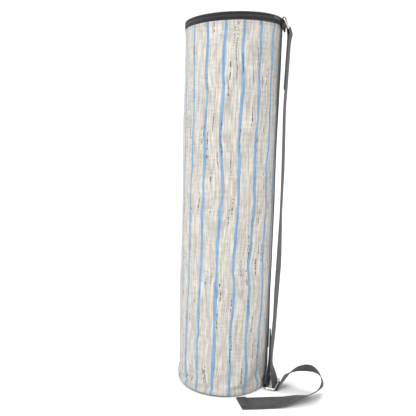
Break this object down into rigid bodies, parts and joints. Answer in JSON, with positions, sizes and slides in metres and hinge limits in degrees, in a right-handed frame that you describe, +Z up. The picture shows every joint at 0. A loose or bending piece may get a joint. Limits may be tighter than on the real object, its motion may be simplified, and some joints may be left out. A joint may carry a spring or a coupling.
{
  "type": "yoga mat bag",
  "caption": "Tall hollow fabric tube bag for a rolled exercise mat, with a zipped round lid and a flat shoulder strap threaded through two wire rings.",
  "frame": {"origin": "centre of the base's underside, where the bag stands", "axes": "+Z up the tube, +X towards the side that carries the strap, -Y the front"},
  "size_m": [0.283, 0.2174, 0.693],
  "materials": {
    "striped_canvas": "coarse slub weave, cream with thin blue stripes",
    "charcoal_canvas": "plain woven canvas",
    "binding_tape": "cotton twill tape",
    "webbing": "flat woven cotton webbing",
    "zip_tape": "fine woven tape",
    "zip_coil": "nylon coil",
    "nickel": "nickel-plated wire, slightly worn",
    "dark_nickel": "dark nickel plating"
  },
  "bodies": {
    "bag": {"body_panel": "striped_canvas", "base_panel": "charcoal_canvas", "base_seam_binding": "binding_tape", "rim_facing": "charcoal_canvas", "side_seam_binding": "binding_tape", "side_webbing": "webbing", "zip_tape_lower": "zip_tape", "zip_coil_lower": "zip_coil", "hinge_patch": "charcoal_canvas", "zip_closed_stop": "dark_nickel", "zip_open_stop": "dark_nickel", "top_ring_tab": "webbing", "bottom_ring_tab": "webbing", "strap_fold": "webbing", "strap_upper": "webbing", "strap_lower": "webbing", "strap_bend": "webbing", "strap_tail": "webbing", "strap_hem": "webbing"},
    "zip_slider": {"zip_slider": "dark_nickel"},
    "zip_pull": {"zip_pull": "dark_nickel"},
    "lid": {"lid_panel": "charcoal_canvas", "lid_seam_binding": "binding_tape", "zip_tape_upper": "zip_tape", "zip_coil_upper": "zip_coil"},
    "top_ring": {"top_ring": "nickel"},
    "bottom_ring": {"bottom_ring": "nickel"}
  },
  "joints": [
    {"name": "lid_hinge", "type": "hinge", "parent": "bag", "child": "lid", "pos_m": [0.08858, -0.00785, 0.69056], "axis": [0.0859, 0.9947, 0.0571], "range_deg": [0, 140]},
    {"name": "slider_travel", "type": "hinge", "parent": "bag", "child": "zip_slider", "pos_m": [0.0003, 0.00036, 0.68037], "axis": [-0.0448, -0.0534, 0.9976], "range_deg": [-294, 0]},
    {"name": "pull_swing", "type": "hinge", "parent": "zip_slider", "child": "zip_pull", "pos_m": [0.07931, -0.05065, 0.68119], "axis": [-0.0448, -0.0534, 0.9976], "range_deg": [0, 110]},
    {"name": "top_ring_swing", "type": "hinge", "parent": "bag", "child": "top_ring", "pos_m": [0.09234, -0.01963, 0.686], "axis": [-0.2079, -0.9781, 0], "range_deg": [-20, 90], "deforming": ["strap_fold", "strap_upper"]},
    {"name": "bottom_ring_swing", "type": "hinge", "parent": "bag", "child": "bottom_ring", "pos_m": [0.08883, -0.02886, 0.0048], "axis": [-0.309, -0.9511, 0], "range_deg": [0, 28]}
  ],
  "couplings": [
    {"joint": "slider_travel", "follows": "lid_hinge", "ratio": -2.1}
  ]
}
